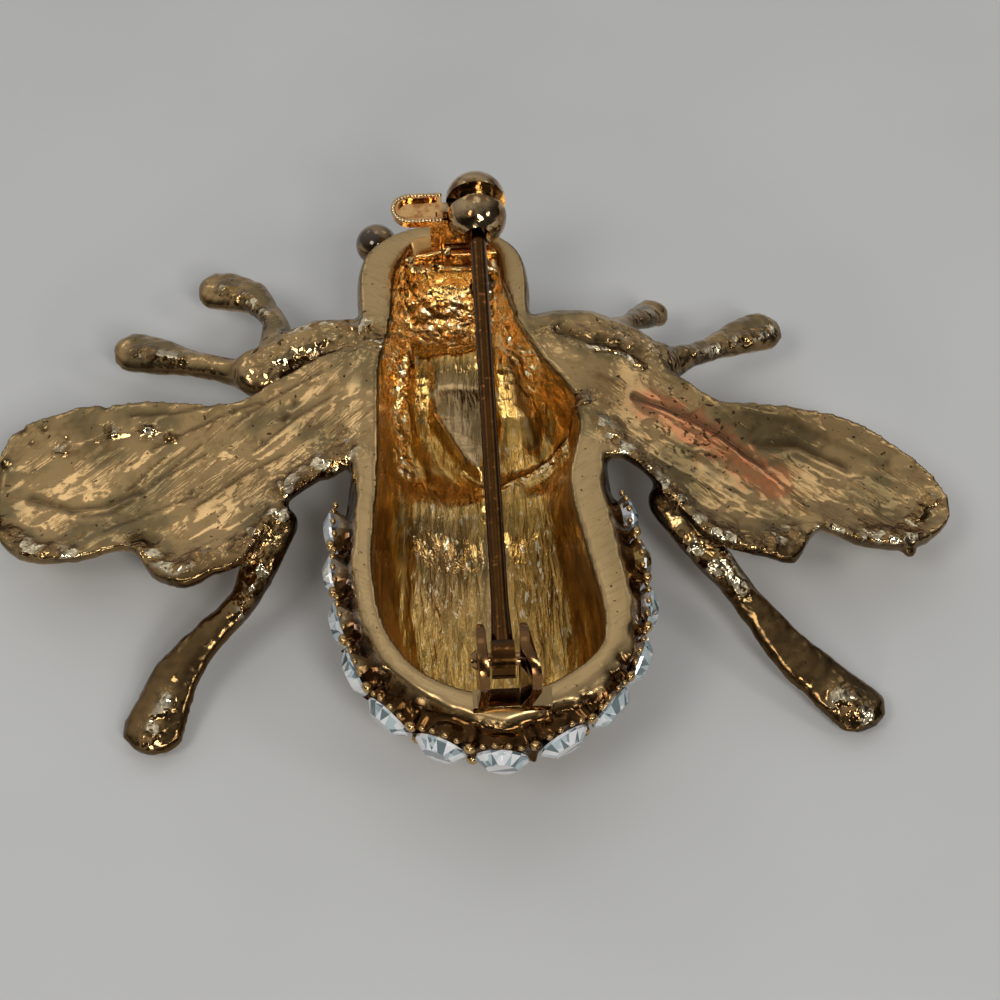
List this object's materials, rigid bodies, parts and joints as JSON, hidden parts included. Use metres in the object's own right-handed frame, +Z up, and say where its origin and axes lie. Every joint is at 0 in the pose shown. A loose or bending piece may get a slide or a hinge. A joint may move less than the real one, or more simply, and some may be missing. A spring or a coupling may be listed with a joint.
{
  "type": "insect brooch",
  "caption": "Cast gold-plated insect brooch with spread wings, an open hollow back, set rhinestones, a hinged pin and a roller safety catch.",
  "frame": {"origin": "on the surface that the brooch lies on, below the middle of its outline", "axes": "+X to the viewer's right across the wings as seen on the brooch's back, +Y from tail to head, +Z up out of the open back; the domed front faces down"},
  "size_m": [0.0542, 0.0386, 0.0121],
  "materials": {
    "casting": "worn gold plate over cast zinc alloy",
    "findings": "gold plate",
    "pin": "dulled gold plate over steel wire",
    "roller": "polished gold plate",
    "eye": "glossy dark amber bead",
    "rhinestone": "clear cut glass with a foiled back",
    "amber_stone": "dark amber glass with a foiled back"
  },
  "bodies": {
    "brooch": {"casting": "casting", "eye_left": "eye", "eye_right": "eye", "hinge_rivet": "findings", "stone_01": "rhinestone", "stone_02": "rhinestone", "stone_03": "rhinestone", "stone_04": "rhinestone", "stone_05": "rhinestone", "stone_06": "rhinestone", "stone_07": "rhinestone", "stone_08": "rhinestone", "stone_09": "rhinestone", "stone_10": "rhinestone", "stone_11": "rhinestone", "stone_12": "amber_stone", "stone_13": "rhinestone"},
    "pin": {"pin_stem": "pin"},
    "roller": {"catch_roller": "roller"}
  },
  "joints": [
    {"name": "pin_hinge", "type": "hinge", "parent": "brooch", "child": "pin", "pos_m": [0.0011, -0.01525, 0.0102], "axis": [1, 0, 0], "range_deg": [0, 100]},
    {"name": "catch_roll", "type": "hinge", "parent": "brooch", "child": "roller", "pos_m": [0.0011, 0.01665, 0.0102], "axis": [0, 1, 0], "range_deg": [0, 135]}
  ]
}
